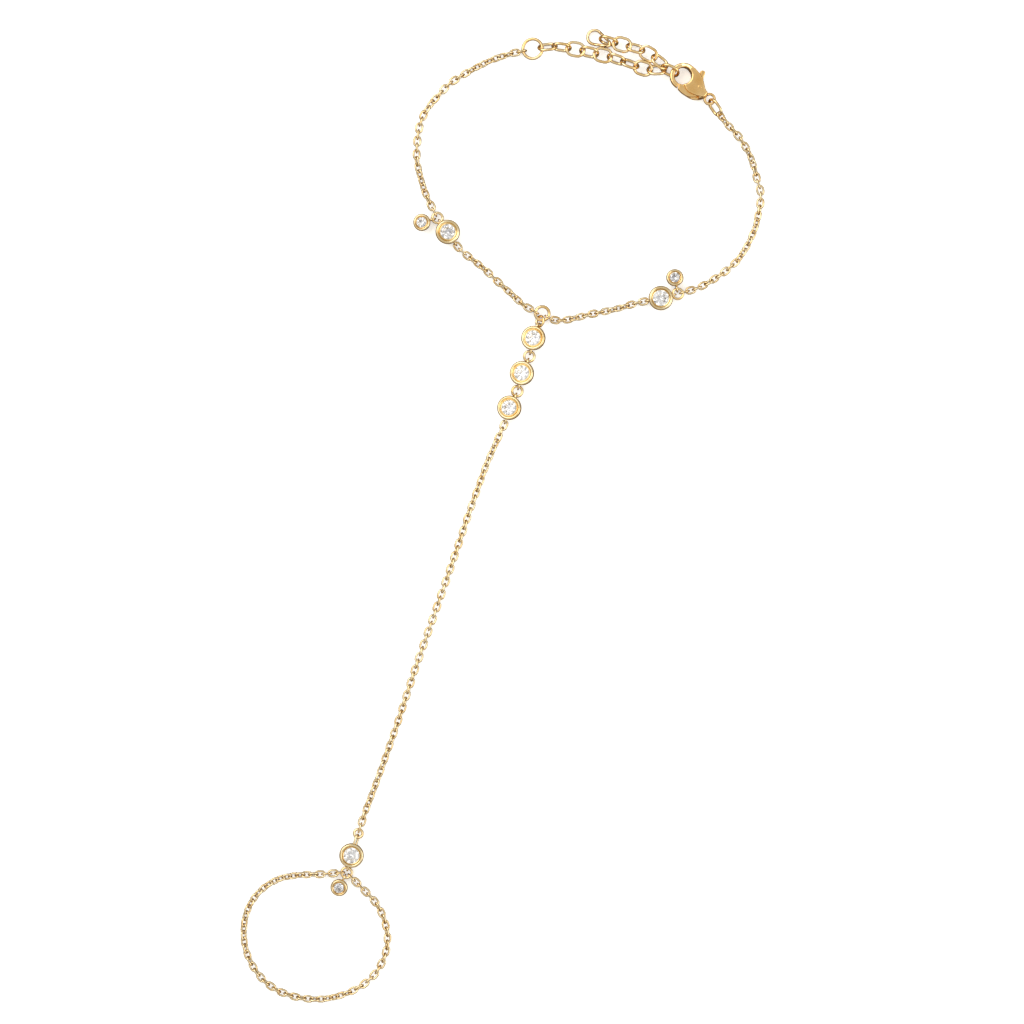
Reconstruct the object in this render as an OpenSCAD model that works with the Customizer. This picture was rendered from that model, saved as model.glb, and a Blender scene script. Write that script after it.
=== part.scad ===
// Hand chain bracelet, laid flat on its back: a wrist chain with a lobster clasp and an extender,
// a row of stones and a chain down the hand, and a loop of chain for the finger.
// X points right and Y up, away from the finger loop. Z points up from the surface that it lies on.
// The origin is in the middle of the outline, on that surface. All sizes are in millimetres.

/* [Fine chain] */
// Outer length of a fine link
link_l = 1.9; // [1.86:0.02:1.96]
// Outer width of a fine link
link_w = 1.36; // [1.32:0.02:1.4]
// Wire of a fine link
link_d = 0.34; // [0.3:0.01:0.35]
// Air between the wires of two links, along the chain
link_gap = 0.1; // [0.1:0.01:0.14]

/* [Large links of the extender and the clasp] */
// Outer length of a large link
big_l = 3.44; // [3.4:0.02:3.5]
// Outer width of a large link
big_w = 2.7; // [2.62:0.02:2.72]
// Wire of a large link
big_d = 0.48; // [0.42:0.01:0.49]
// Outer width of the pear ring at the end of the tail
pear_w = 2.85; // [2.7:0.05:3]
// Outer length of the pear ring
pear_l = 4.5; // [4.3:0.05:4.7]

/* [Rings] */
// Outer size of a jump ring beside a bezel
ring_od = 2.12; // [2.08:0.02:2.2]
// Wire of a jump ring
ring_d = 0.42; // [0.36:0.01:0.43]
// Outer size of the small ring above the finger bezel
top_ring_od = 1.82; // [1.8:0.02:1.92]
// Outer size of the ring where the wrist chains and the hand stones meet
junction_od = 2.8; // [2.75:0.05:2.95]
// Outer size of the ring at the start of the extender
extender_ring_od = 3.75; // [3.65:0.05:3.85]
// Wire of the junction ring and of the extender's ring
heavy_d = 0.5; // [0.45:0.01:0.52]

/* [Bezels and stones] */
// Outer size of a large bezel
bezel_d = 4.05; // [4:0.05:4.15]
// Height of a large bezel
bezel_h = 2; // [1.9:0.05:2.1]
// Size of a large bezel's foot
bezel_foot_d = 2.4; // [2.2:0.05:2.5]
// Size of a large stone across its girdle
stone_d = 3.1; // [3:0.05:3.15]
// Outer size of a small bezel
drop_d = 2.85; // [2.8:0.05:2.95]
// Height of a small bezel
drop_h = 1.6; // [1.55:0.05:1.7]
// Size of a small bezel's foot
drop_foot_d = 1.7; // [1.6:0.05:1.8]
// Size of a small stone across its girdle
drop_stone_d = 2; // [1.9:0.05:2.05]
// Air between a stone and its bezel
stone_fit = 0.04; // [0.03:0.01:0.05]
// Lean of the three stones on the hand
hand_tilt = 11; // [6:1:13]
// Lean of the small drops
drop_tilt = 8; // [4:1:10]

/* [Eyelets] */
// Wire of an eyelet soldered to a bezel
eye_d = 0.32; // [0.28:0.01:0.33]
// Outer height of an eyelet
eye_w = 1.3; // [1.28:0.02:1.36]
// Air between pieces that hold each other
hold_gap = 0.1; // [0.1:0.01:0.13]
// Extra air where the turned ring of the first hand stone holds the junction ring
turned_gap = 0.1; // [0.08:0.01:0.12]
// Length of eyelet left free between two stones of the hand
hand_neck = 0.17; // [0.15:0.01:0.3]
// Length of eyelet left free beside a wrist bezel
station_neck = 0.06; // [0.05:0.01:0.2]
// Length of eyelet left free on a drop
drop_neck = 0.06; // [0.05:0.01:0.3]
// Length of eyelet left free above the finger bezel
finger_neck = 1; // [0.8:0.05:1.2]

/* [Clasp] */
// Size of the hole inside the hook
hook_hole_d = 2.74; // [2.7:0.02:2.8]
// Outer size of the hook
hook_od = 4.4; // [4.3:0.05:4.45]
// Thickness of the hook's wire, from top to bottom
hook_t = 0.95; // [0.85:0.05:1]
// Thickness of the clasp's body
clasp_t = 2.4; // [2.35:0.05:2.5]
// Distance from the middle of the hook to the middle of the eye
clasp_span = 5.83; // [5.75:0.02:5.9]
// Outer size of the clasp's eye
clasp_eye_od = 2.1; // [2.05:0.05:2.2]
// Hole of the clasp's eye
clasp_eye_hole_d = 1.28; // [1.26:0.02:1.34]
// Thickness of the clasp's eye
clasp_eye_t = 0.6; // [0.5:0.05:0.65]
// Thickness of the lever
lever_t = 1.2; // [1.1:0.05:1.25]
// Air above and below the lever in its slot
lever_gap = 0.05; // [0.04:0.01:0.07]
// Size of the lever's thumb knob
knob_d = 0.84; // [0.8:0.02:0.9]
// Size of the pivot pin
pin_d = 0.7; // [0.6:0.02:0.74]
// Air around the pivot pin
pin_gap = 0.03; // [0.02:0.01:0.04]
// Extra air for the bend of a large link where it hangs on the clasp
bend_gap = 0.1; // [0.08:0.01:0.12]

/* [Hidden] */
$fn = 48;

GOLD = [0.86, 0.67, 0.36];
STONE = [0.93, 0.95, 0.97];

// Heights: the fine chain, the rings and the eyelets share one level, the large links lie higher
eye_z = 0.78;
big_z = 1.3;
hooked_z = 1.25;

// Where the main pieces lie, and the way each connection points
left_at = [-9, 47.2];
left_ring_way = 126;
left_drop_way = 197;
left_chain_in_way = 118;
left_chain_out_way = -56;
right_at = [26.4, 36.2];
right_ring_way = 15;
right_drop_way = 101;
right_chain_in_way = 190;
right_chain_out_way = 14;
junction_at = [6.7, 33.7];
junction_left_way = 175;
junction_right_way = -34;
hand_ways = [-106, -108, -110];
hand_out_way = -113;
finger_at = [-25, -56.4];
finger_up_way = 73;
finger_chain_in_way = 76;
finger_down_way = -106;
finger_drop_way = 243;
finger_left_way = 177;
finger_right_way = -44;
extender_ring_at = [5.1, 77.7];
extender_ring_left_way = -167;
extender_ring_right_way = 5;
clasp_at = [30.1, 73.1];
clasp_way = -40.7;
clasp_link_way = -56;
hooked_way = 156;
pear_way = 152;

// Chosen points along each chain, between the pieces that it joins
LEFT_UPPER = [
    [1.7, 77], [-1.2, 76.1], [-3, 75.3], [-5.1, 74.2], [-7, 73.1], [-9, 71.8], [-10, 70.6],
    [-11.4, 69.1], [-12.7, 67.4], [-13.6, 65.5], [-14, 63.4], [-14.2, 61.1], [-14.2, 59.2],
    [-13.8, 57.2], [-12.8, 53.7]
];
LEFT_LOWER = [[-6.8, 44.1], [-4.8, 42.6], [-2.9, 41.1], [-0.5, 38.8], [1.3, 37.2], [3.4, 35.2]];
RIGHT_LOWER = [
    [8.7, 32.5], [9.9, 32.5], [11.7, 32.8], [14.3, 33.5], [17.5, 34.1], [19.6, 34.6], [22.2, 35.4]
];
RIGHT_UPPER = [
    [32.6, 37.9], [34.5, 38.9], [36.6, 40.3], [37.8, 41.2], [39.3, 42.6], [40.3, 44.1], [41, 45.3],
    [42.2, 48], [43, 51.8], [43.1, 54], [42.5, 55.8], [41.9, 58.3], [41.2, 60.2], [40.5, 61.5],
    [39.6, 62.9], [38.4, 64.3]
];
HAND = [
    [-2.5, 8.8], [-5.5, 0.5], [-8.3, -7.9], [-11.2, -16.2], [-14.2, -24.7],
    [-17.4, -34.5], [-20.5, -43.3], [-22.9, -49.6]
];
FINGER = [
    [-30, -59.6], [-33.8, -59.7], [-36.8, -60.2], [-39, -61.3], [-40.8, -62.9], [-42.1, -64.9],
    [-42.8, -67], [-43, -69.1], [-42.9, -71.1], [-42.3, -73.3], [-41.2, -75.4], [-39.6, -77.4],
    [-37.4, -79], [-34.6, -80], [-32, -80.4], [-29.8, -80.4], [-27.6, -80], [-25.4, -79.3],
    [-23.2, -78.1], [-21.3, -76.5], [-20, -74.5], [-19.2, -72.3], [-19, -70.1], [-19.3, -68.1],
    [-20, -66], [-21.3, -63.9], [-23.1, -62.1]
];
EXTENDER_RUN = [
    [8.7, 78.1, 1.3], [11, 77.8, 1.3], [13.3, 77.4, 1.22], [18.1, 76.3, 1.24], [22.2, 74.8, 1.3],
    [24.5, 74.1, 1.14]
];
EXTENDER_TAIL = [[25.2, 76.3, 1.6], [23.1, 77.5, 1.5], [20.4, 78.2, 1.5], [18.4, 78.8, 1.3]];

// Turn of each large link about the chain, in order from the start of its stretch
RUN_ROLLS = [-57, 70, 0, 60, -5, 65, -55, 24, -45];
TAIL_ROLLS = [42, -24, 50, 0, -70];
hooked_roll = -58;
clasp_link_roll = 65;

// Points and ways in the plan
function way(angle) = [cos(angle), sin(angle)];
function raised(p, z) = [p.x, p.y, z];
function flat(p) = [p.x, p.y];
function way_to(a, b) = atan2(b.y - a.y, b.x - a.x);

// Length of a route, and the point that lies a distance s along it
function route_length(route, k = 0) =
    k >= len(route) - 1 ? 0 : norm(route[k + 1] - route[k]) + route_length(route, k + 1);
function along(route, s, k = 0) =
    let (step = norm(route[k + 1] - route[k]))
    s <= step || k == len(route) - 2
        ? route[k] + (route[k + 1] - route[k]) * s / step
        : along(route, s - step, k + 1);
function laid(points, start, end) =
    concat([start], [for (p = points) len(p) == 2 ? raised(p, eye_z) : p], [end]);

// How many links fill a route, and the turn of each one about the chain.
// Each link stands a quarter turn from the last. The lean comes on over a few links at each end.
lean_links = 4;
function link_count(route, l, d) = ceil(route_length(route) / (l - 2 * d - link_gap));
function quarter_rest(turn) = turn - 180 * round(turn / 180);
function fine_rolls(n, first, last, lean, waves) = [
    for (i = [0 : n - 1])
        let (share = i / (n - 1), ease = min(1, i / lean_links, (n - 1 - i) / lean_links))
        first + 90 * i
            + quarter_rest(last - first - 90 * (n - 1)) * share
            + lean * ease * (waves == 0 ? 1 : sin(360 * waves * share))
];

// Pieces that hold each other: how far each wire's middle stands from the next
function circle_r(od, d) = (od - d) / 2;
function chain_inset(d) = d / 2 + hold_gap - link_gap / 2;
function wall_at(rim_d, rim_h, foot_d) =
    (foot_d + (rim_d - foot_d) * eye_z / (waist_share * rim_h)) / 2;
function ring_seat(wall, neck) = wall + hold_gap + neck + ring_d / 2;
function eyelet_end(wall, neck) = ring_seat(wall, neck) + ring_d / 2 + hold_gap + eye_d / 2;
function chain_seat(wall, neck) = eyelet_end(wall, neck) - chain_inset(eye_d);
waist_share = 0.6;
large_wall = wall_at(bezel_d, bezel_h, bezel_foot_d);
drop_wall = wall_at(drop_d, drop_h, drop_foot_d);
ring_r = circle_r(ring_od, ring_d);
junction_r = circle_r(junction_od, heavy_d);

// Left and right stations on the wrist
station_reach = ring_seat(large_wall, station_neck) + ring_r;
drop_reach = ring_seat(drop_wall, drop_neck) + ring_r;
left_ring_at = left_at + station_reach * way(left_ring_way);
left_drop_at = left_ring_at + drop_reach * way(left_drop_way);
right_ring_at = right_at + station_reach * way(right_ring_way);
right_drop_at = right_ring_at + drop_reach * way(right_drop_way);

// The three stones on the hand, each one ring further on
first_ring_in = junction_r - (heavy_d + ring_d) / 2 - hold_gap - turned_gap;
hand_seat = ring_seat(large_wall, hand_neck);
hand_ring_1_at = junction_at + (first_ring_in + ring_r) * way(hand_ways[0]);
hand_1_at = hand_ring_1_at + (ring_r + hand_seat) * way(hand_ways[0]);
hand_ring_2_at = hand_1_at + (hand_seat + ring_r) * way(hand_ways[1]);
hand_2_at = hand_ring_2_at + (ring_r + hand_seat) * way(hand_ways[1]);
hand_ring_3_at = hand_2_at + (hand_seat + ring_r) * way(hand_ways[2]);
hand_3_at = hand_ring_3_at + (ring_r + hand_seat) * way(hand_ways[2]);

// The finger station
top_ring_r = circle_r(top_ring_od, ring_d);
finger_top_ring_at =
    finger_at + (ring_seat(large_wall, finger_neck) + top_ring_r) * way(finger_up_way);
finger_ring_at = finger_at + (hand_seat + ring_r) * way(finger_down_way);
finger_drop_at = finger_ring_at + drop_reach * way(finger_drop_way);

// The clasp's eye and the links that hang on the clasp
clasp_mid_z = clasp_t / 2;
clasp_eye_at = clasp_at + clasp_span * way(clasp_way);
clasp_link_in = clasp_eye_hole_d / 2 - big_d / 2 - hold_gap - bend_gap;
clasp_link_from = clasp_eye_at + clasp_link_in * way(clasp_link_way);
clasp_link_to = clasp_link_from + (big_l - big_d) * way(clasp_link_way);
hooked_in = hook_hole_d / 2 - big_d / 2 - hold_gap - bend_gap;
hooked_from = clasp_at + hooked_in * way(hooked_way);
hooked_to = hooked_from + (big_l - big_d) * way(hooked_way);

// The two large chains share the near end of the hooked link, one above the other
share_z = 0.28;
share_side = 0.25;
share_in = 0.2;
hooked_share = hooked_to - (chain_inset(big_d) + share_in) * way(hooked_way);
run_end = raised(hooked_share - share_side * way(hooked_way - 90), hooked_z - share_z);
tail_start = raised(hooked_share + share_side * way(hooked_way - 90), hooked_z + share_z);

// The extender's ring rises from the fine chain to the large links
extender_ring_r = circle_r(extender_ring_od, heavy_d);
extender_ring_left =
    raised(extender_ring_at + extender_ring_r * way(extender_ring_right_way + 180), eye_z);
extender_ring_right =
    raised(extender_ring_at + extender_ring_r * way(extender_ring_right_way), big_z - 0.1);
run_start = raised(
    extender_ring_at + (extender_ring_r - chain_inset(heavy_d)) * way(extender_ring_right_way), big_z
);

// The pear ring has slid back over the tail's last link
pear_slide = 1.6;
pear_side = 0.2;
tail_end = [16.6, 79.3];
pear_small_r = 0.45;
pear_big_r = (pear_w - big_d) / 2;
pear_span = pear_l - pear_w / 2 - pear_small_r - big_d / 2;
pear_tip = tail_end + pear_slide * way(pear_way + 180) + pear_side * way(pear_way + 90);
pear_z = 0.9;
pear_drop = 6;

// A closed ring of round wire with a large bend at x = 0, a small bend at x = span and two
// straight sides. With equal bends it is an oval link. Sloping sides are a hair thinner than the
// bends and run a little way into them.
side_lap = 0.05;
side_thin = 0.02;
module bent_ring(big_r, small_r, span, d) {
    slope = span > 0 ? asin((big_r - small_r) / span) : 0;
    side = span * cos(slope);
    lap = slope > 0 ? side_lap : 0;
    side_d = slope > 0 ? d - side_thin : d;
    rotate([0, 0, 90 - slope])
        rotate_extrude(angle = 180 + 2 * slope)
            translate([big_r, 0])
                circle(d = d, $fn = 24);
    translate([span, 0, 0])
        rotate([0, 0, slope - 90])
            rotate_extrude(angle = 180 - 2 * slope)
                translate([small_r, 0])
                    circle(d = d, $fn = 24);
    for (hand = [-1, 1])
        rotate([0, 0, hand * -slope])
            translate([-lap, hand * big_r, 0])
                rotate([0, 90, 0])
                    cylinder(d = side_d, h = side + 2 * lap, $fn = 24);
}

// An oval link in the XY plane, centred, long side on X
module oval_link(l, w, d) {
    bend_r = (w - d) / 2;
    translate([-(l - w) / 2, 0, 0])
        bent_ring(bend_r, bend_r, l - w, d);
}

// Sets a piece halfway between two points, its X axis from one to the other
module between(a, b, roll) {
    step = b - a;
    translate((a + b) / 2)
        rotate([0, -asin(step.z / norm(step)), atan2(step.y, step.x)])
            rotate([roll, 0, 0])
                children();
}

module chain(route, l, w, d, rolls) {
    step = route_length(route) / len(rolls);
    for (i = [0 : len(rolls) - 1])
        between(along(route, i * step), along(route, (i + 1) * step), rolls[i])
            oval_link(l, w, d);
}

// A stretch of fine chain, with the turn of its first and last link and its lean in between
module fine_chain(points, start, end, first, last, lean, waves) {
    route = laid(points, start, end);
    count = link_count(route, link_l, link_d);
    color(GOLD)
        chain(route, link_l, link_w, link_d, fine_rolls(count, first, last, lean, waves));
}

// A stretch of large links, whose turns are chosen one by one
module large_chain(points, start, end, turns) {
    route = laid(points, start, end);
    count = link_count(route, big_l, big_d);
    color(GOLD)
        chain(route, big_l, big_w, big_d, [for (i = [0 : count - 1]) turns[i % len(turns)]]);
}

module ring(od, d) {
    color(GOLD)
        rotate_extrude()
            translate([circle_r(od, d), 0])
                circle(d = d, $fn = 24);
}

module flat_ring(at, od, d) {
    translate(raised(at, eye_z))
        ring(od, d);
}

// Round brilliant: an eight-sided table, a crown, a sixteen-sided girdle and a pointed pavilion
crown_slope = tan(34);
pavilion_slope = tan(40.8);
table_share = 0.56;
girdle_share = 0.03;
star_share = 0.77;
lower_share = 0.28;
table_below_rim = 0.05;

function girdle_top(rim_h, size) =
    rim_h - table_below_rim - crown_slope * size * (1 - table_share) / 2;
// Slopes along the stone's own edges, which stand a little outside its mean cones
crown_edge_slope = crown_slope * (1 - star_share * cos(22.5)) / (1 - star_share);
pavilion_edge_slope = pavilion_slope * (1 - lower_share * cos(22.5)) / (1 - lower_share);
function octagon(r, z, turn) = [for (k = [0 : 7]) [r * cos(45 * k + turn), r * sin(45 * k + turn), z]];
function sixteen(r, z) = [for (k = [0 : 15]) [r * cos(22.5 * k), r * sin(22.5 * k), z]];

module stone(size, rim_h) {
    r = size / 2;
    top_z = girdle_top(rim_h, size);
    low_z = top_z - girdle_share * size;
    table_r = table_share * r;
    star_r = star_share * r;
    lower_r = lower_share * r;
    table_z = top_z + crown_slope * (r - table_r);
    star_z = top_z + crown_slope * (r - star_r * cos(22.5));
    culet_z = low_z - pavilion_slope * r;
    lower_z = culet_z + pavilion_slope * lower_r * cos(22.5);
    points = concat(
        octagon(table_r, table_z, 0), octagon(star_r, star_z, 22.5),
        sixteen(r, top_z), sixteen(r, low_z),
        octagon(lower_r, lower_z, 22.5), [[0, 0, culet_z]]
    );
    star = 8;
    upper = 16;
    under = 32;
    lower = 48;
    culet = 56;
    faces = concat(
        [[for (k = [7 : -1 : 0]) k]],
        [for (k = [0 : 7]) [k, (k + 1) % 8, star + k]],
        [for (k = [0 : 7]) [k, star + k, upper + 2 * k]],
        [for (k = [0 : 7]) [k, upper + 2 * k, star + (k + 7) % 8]],
        [for (k = [0 : 7]) [star + k, upper + 2 * k + 1, upper + 2 * k]],
        [for (k = [0 : 7]) [star + k, upper + (2 * k + 2) % 16, upper + 2 * k + 1]],
        [for (k = [0 : 15]) [upper + k, upper + (k + 1) % 16, under + (k + 1) % 16]],
        [for (k = [0 : 15]) [upper + k, under + (k + 1) % 16, under + k]],
        [for (k = [0 : 7]) [lower + k, under + 2 * k, under + 2 * k + 1]],
        [for (k = [0 : 7]) [lower + k, under + 2 * k + 1, under + (2 * k + 2) % 16]],
        [for (k = [0 : 7]) [culet, under + 2 * k, lower + k]],
        [for (k = [0 : 7]) [culet, lower + k, under + (2 * k + 2) % 16]]
    );
    color(STONE)
        polyhedron(points, faces);
}

// Bezel cup: a tapered wall with a round rim, a lip over the stone's edge and an open back
rim_round = 0.18;
rim_top_share = 0.86;
lip_over = 0.15;
lip_t = 0.12;
back_share = 0.53;
arc_steps = 4;

function cup_profile(rim_d, rim_h, foot_d, size) =
    let (
        rim_r = rim_d / 2, r = size / 2, top_z = girdle_top(rim_h, size),
        low_z = top_z - girdle_share * size, lip_r = r - lip_over, back_r = back_share * r,
        lip_under = top_z + crown_edge_slope * lip_over + stone_fit,
        drop = stone_fit / cos(atan(pavilion_edge_slope))
    )
    concat(
        [[back_r, 0], [foot_d / 2, 0], [rim_r, waist_share * rim_h]],
        [for (k = [0 : arc_steps])
            [rim_r - rim_round, rim_h - rim_round] + rim_round * way(90 * k / arc_steps)],
        [
            [rim_r * rim_top_share, rim_h], [lip_r, lip_under + lip_t], [lip_r, lip_under],
            [r + stone_fit, top_z + stone_fit],
            [r + stone_fit, low_z + pavilion_edge_slope * stone_fit - drop],
            [back_r, low_z - pavilion_edge_slope * (r - back_r) - drop]
        ]
    );

// Leans a cup or its stone on the edge of its foot, towards a way in the plan
module leaned(angle, towards, foot_d) {
    translate([0, 0, foot_d / 2 * sin(angle)])
        rotate([0, 0, towards])
            rotate([0, angle, 0])
                rotate([0, 0, -towards])
                    children();
}

// An eyelet of wire, upright or turned, from inside the wall out to the ring that it holds
eyelet_root = 0.72;

module eyelet(wall, heading, neck, roll) {
    root = eyelet_root * wall;
    tip = eyelet_end(wall, neck) + eye_d / 2;
    rotate([0, 0, heading])
        translate([(root + tip) / 2, 0, eye_z])
            rotate([roll, 0, 0])
                oval_link(tip - root, eye_w, eye_d);
}

// A bezel and its soldered eyelets. Each eyelet is [way, neck, turn].
module bezel(at, rim_d, rim_h, foot_d, size, eyes, tilt, tilt_way) {
    color(GOLD)
        translate(raised(at, 0)) {
            leaned(tilt, tilt_way, foot_d)
                rotate_extrude()
                    polygon(cup_profile(rim_d, rim_h, foot_d, size));
            for (eye = eyes)
                eyelet(wall_at(rim_d, rim_h, foot_d), eye[0], eye[1], eye[2]);
        }
}

module large_bezel(at, eyes, tilt = 0, tilt_way = 0) {
    bezel(at, bezel_d, bezel_h, bezel_foot_d, stone_d, eyes, tilt, tilt_way);
}

module large_stone(at, tilt = 0, tilt_way = 0) {
    translate(raised(at, 0))
        leaned(tilt, tilt_way, bezel_foot_d)
            stone(stone_d, bezel_h);
}

module drop_bezel(at, ring_at) {
    bezel(
        at, drop_d, drop_h, drop_foot_d, drop_stone_d,
        [[way_to(at, ring_at), drop_neck, 90]], drop_tilt, way_to(ring_at, at)
    );
}

module drop_stone(at, ring_at) {
    translate(raised(at, 0))
        leaned(drop_tilt, way_to(ring_at, at), drop_foot_d)
            stone(drop_stone_d, drop_h);
}

// The clasp, in its own frame: X from the hook's middle to the eye, Y towards the thumb knob.
// The top cheek stops short of the lower cheek on the gate's side, so the lever shows there.
pivot = [3.3, 0.3];
hook_start = 60;
hook_free = 262;
hook_tip = 296;
tip_reach = 3.6;
tip_gap = 0.06;
slot_h = lever_t + 2 * lever_gap;
cheek_t = (clasp_t - slot_h) / 2;
hook_chamfer = 0.28;
knob_at = [2.1, 2.63];
web_x = 1.95;
eye_lap = 0.12;
neck_x = clasp_span - clasp_eye_od / 2 + eye_lap;
neck_half = 0.5;
bridge_l = 0.65;

module in_clasp() {
    translate(raised(clasp_at, 0))
        rotate([0, 0, clasp_way])
            children();
}

module cheek_outline(gate_side) {
    polygon(concat(
        [[0.3, hook_od / 2 - 0.05], [1, 2.1], [1.8, 1.98], [2.6, 1.72], [3.4, 1.36], [4.1, 0.92]],
        [[neck_x - 0.35, neck_half + 0.06], [neck_x, neck_half], [neck_x, -neck_half]],
        [[neck_x - 0.15, -neck_half - 0.25]],
        gate_side
    ));
}

module hook_section() {
    low = -hook_t / 2;
    high = hook_t / 2;
    inner = hook_hole_d / 2;
    outer = hook_od / 2;
    polygon([
        [inner, low + hook_chamfer], [inner + hook_chamfer, low], [outer - hook_chamfer, low],
        [outer, low + hook_chamfer], [outer, high - hook_chamfer], [outer - hook_chamfer, high],
        [inner + hook_chamfer, high], [inner, high - hook_chamfer]
    ]);
}

module clasp_body() {
    color(GOLD)
        in_clasp() {
            // Hook, from under the cheeks round to its tip, where the lever's end swings past it
            difference() {
                translate([0, 0, clasp_mid_z])
                    rotate([0, 0, hook_start])
                        rotate_extrude(angle = hook_tip - hook_start)
                            hook_section();
                intersection() {
                    translate([pivot.x, pivot.y, 0])
                        cylinder(r = tip_reach + tip_gap, h = clasp_t, $fn = 96);
                    translate([-0.2, -hook_od, 0])
                        cube([hook_od / 2, hook_od - 1, clasp_t]);
                }
            }
            difference() {
                union() {
                    linear_extrude(cheek_t)
                        cheek_outline([[4.1, -1.5], [2.95, -1.75], [1.9, -1.7], [1.7, -1.16]]);
                    translate([0, 0, clasp_t - cheek_t])
                        linear_extrude(cheek_t)
                            cheek_outline([[4, -0.45], [1.7, -1.16]]);
                    // Web beside the hook and bridge at the eye join the two cheeks
                    linear_extrude(clasp_t)
                        polygon([
                            [0.3, hook_od / 2 - 0.05], [1, 2.1], [1.8, 1.98], [web_x, 1.94],
                            [web_x, 1.2], [0.6, 1.2]
                        ]);
                    linear_extrude(clasp_t)
                        polygon([
                            [neck_x - bridge_l, 0.75], [neck_x - 0.35, neck_half + 0.06],
                            [neck_x, neck_half], [neck_x, -neck_half],
                            [neck_x - 0.15, -neck_half - 0.25], [neck_x - bridge_l, -1.25]
                        ]);
                }
                translate([0, 0, -1])
                    cylinder(d = hook_hole_d, h = clasp_t + 2);
                translate([pivot.x, pivot.y, -1])
                    cylinder(d = pin_d + 2 * pin_gap, h = clasp_t + 2);
            }
            // Eye
            translate([clasp_span, 0, clasp_mid_z - clasp_eye_t / 2])
                difference() {
                    cylinder(d = clasp_eye_od, h = clasp_eye_t);
                    translate([0, 0, -1])
                        cylinder(d = clasp_eye_hole_d, h = clasp_eye_t + 2);
                }
        }
}

lever_inset = 0.04;
gate_inner_end = 330;
gate_outer_end = 300;
knob_from = 215;

module lever_outline() {
    inner = hook_hole_d / 2 + lever_inset;
    outer = hook_od / 2 - lever_inset;
    intersection() {
        polygon(concat(
            [for (k = [0 : 7]) inner * way(hook_free + (gate_inner_end - hook_free) * k / 7)],
            [[2.3, -0.5], [2.75, 0.9], [2.4, 1.7]],
            [for (k = [0 : 12]) knob_at + knob_d / 2 * way(knob_from - 20 * k)],
            [[2.95, 1.8], [3.55, 1.05], [4.1, 0.5], [4.1, 0], [3.6, -0.9], [2.9, -1.62], [2.2, -1.75]],
            [for (k = [4 : -1 : 0]) outer * way(hook_free + (gate_outer_end - hook_free) * k / 4)]
        ));
        translate(pivot)
            circle(r = tip_reach, $fn = 96);
    }
}

module clasp_lever() {
    color(GOLD)
        in_clasp()
            translate([0, 0, clasp_mid_z - lever_t / 2])
                difference() {
                    linear_extrude(lever_t)
                        lever_outline();
                    translate([pivot.x, pivot.y, -1])
                        cylinder(d = pin_d + 2 * pin_gap, h = lever_t + 2);
                }
}

module clasp_pin() {
    color(GOLD)
        in_clasp()
            translate([pivot.x, pivot.y, 0])
                cylinder(d = pin_d, h = clasp_t);
}

module clasp_link() {
    color(GOLD)
        between(raised(clasp_link_from, hooked_z), raised(clasp_link_to, hooked_z), clasp_link_roll)
            oval_link(big_l, big_w, big_d);
}

module hooked_link() {
    color(GOLD)
        between(raised(hooked_from, hooked_z), raised(hooked_to, hooked_z), hooked_roll)
            oval_link(big_l, big_w, big_d);
}

module extender_ring() {
    between(extender_ring_left, extender_ring_right, 0)
        ring(extender_ring_od, heavy_d);
}

module extender_run() {
    large_chain(EXTENDER_RUN, run_start, run_end, RUN_ROLLS);
}

module extender_tail() {
    large_chain(EXTENDER_TAIL, tail_start, raised(tail_end, big_z), TAIL_ROLLS);
}

module pear_ring() {
    color(GOLD)
        translate(raised(pear_tip, pear_z))
            rotate([0, pear_drop, pear_way])
                translate([pear_span + pear_small_r, 0, 0])
                    rotate([0, 0, 180])
                        bent_ring(pear_big_r, pear_small_r, pear_span, big_d);
}

// Ends of the fine chains: at a flat ring the end link is upright, at an upright eyelet it is flat
function at_ring(centre, r, d, heading) = raised(centre + (r - chain_inset(d)) * way(heading), eye_z);
function at_bezel(centre, neck, heading) =
    raised(centre + chain_seat(large_wall, neck) * way(heading), eye_z);
upright = 90;
wrist_lean = 35;
wrist_bends = 2;

module wrist_chain_left_upper() {
    fine_chain(
        LEFT_UPPER, at_ring(extender_ring_at, extender_ring_r, heavy_d, extender_ring_left_way),
        at_ring(left_ring_at, ring_r, ring_d, left_chain_in_way),
        upright, upright, wrist_lean, wrist_bends
    );
}

module wrist_chain_left_lower() {
    fine_chain(
        LEFT_LOWER, at_bezel(left_at, station_neck, left_chain_out_way),
        at_ring(junction_at, junction_r, heavy_d, junction_left_way),
        0, upright, wrist_lean, 1
    );
}

module wrist_chain_right_lower() {
    fine_chain(
        RIGHT_LOWER, at_ring(junction_at, junction_r, heavy_d, junction_right_way),
        at_bezel(right_at, station_neck, right_chain_in_way),
        upright, 0, wrist_lean, 1
    );
}

module wrist_chain_right_upper() {
    link_end = clasp_link_to - chain_inset(big_d) * way(clasp_link_way);
    lead_in = link_end + link_l * way(clasp_link_way);
    fine_chain(
        concat(RIGHT_UPPER, [raised(lead_in, hooked_z - 0.15)]),
        at_ring(right_ring_at, ring_r, ring_d, right_chain_out_way),
        raised(link_end, hooked_z),
        upright, 90 - clasp_link_roll, wrist_lean, wrist_bends
    );
}

module hand_chain() {
    fine_chain(
        HAND, at_bezel(hand_3_at, hand_neck, hand_out_way),
        at_ring(finger_top_ring_at, top_ring_r, ring_d, finger_chain_in_way),
        0, upright, 45, 0
    );
}

module finger_chain() {
    fine_chain(
        FINGER, at_ring(finger_ring_at, ring_r, ring_d, finger_left_way),
        at_ring(finger_ring_at, ring_r, ring_d, finger_right_way),
        upright, upright, 40, 1.5
    );
}

// The stones and cups of each station
module station_cup(at, way_in, way_out) {
    large_bezel(at, [[way_in, station_neck, upright], [way_out, station_neck, upright]]);
}

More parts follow.
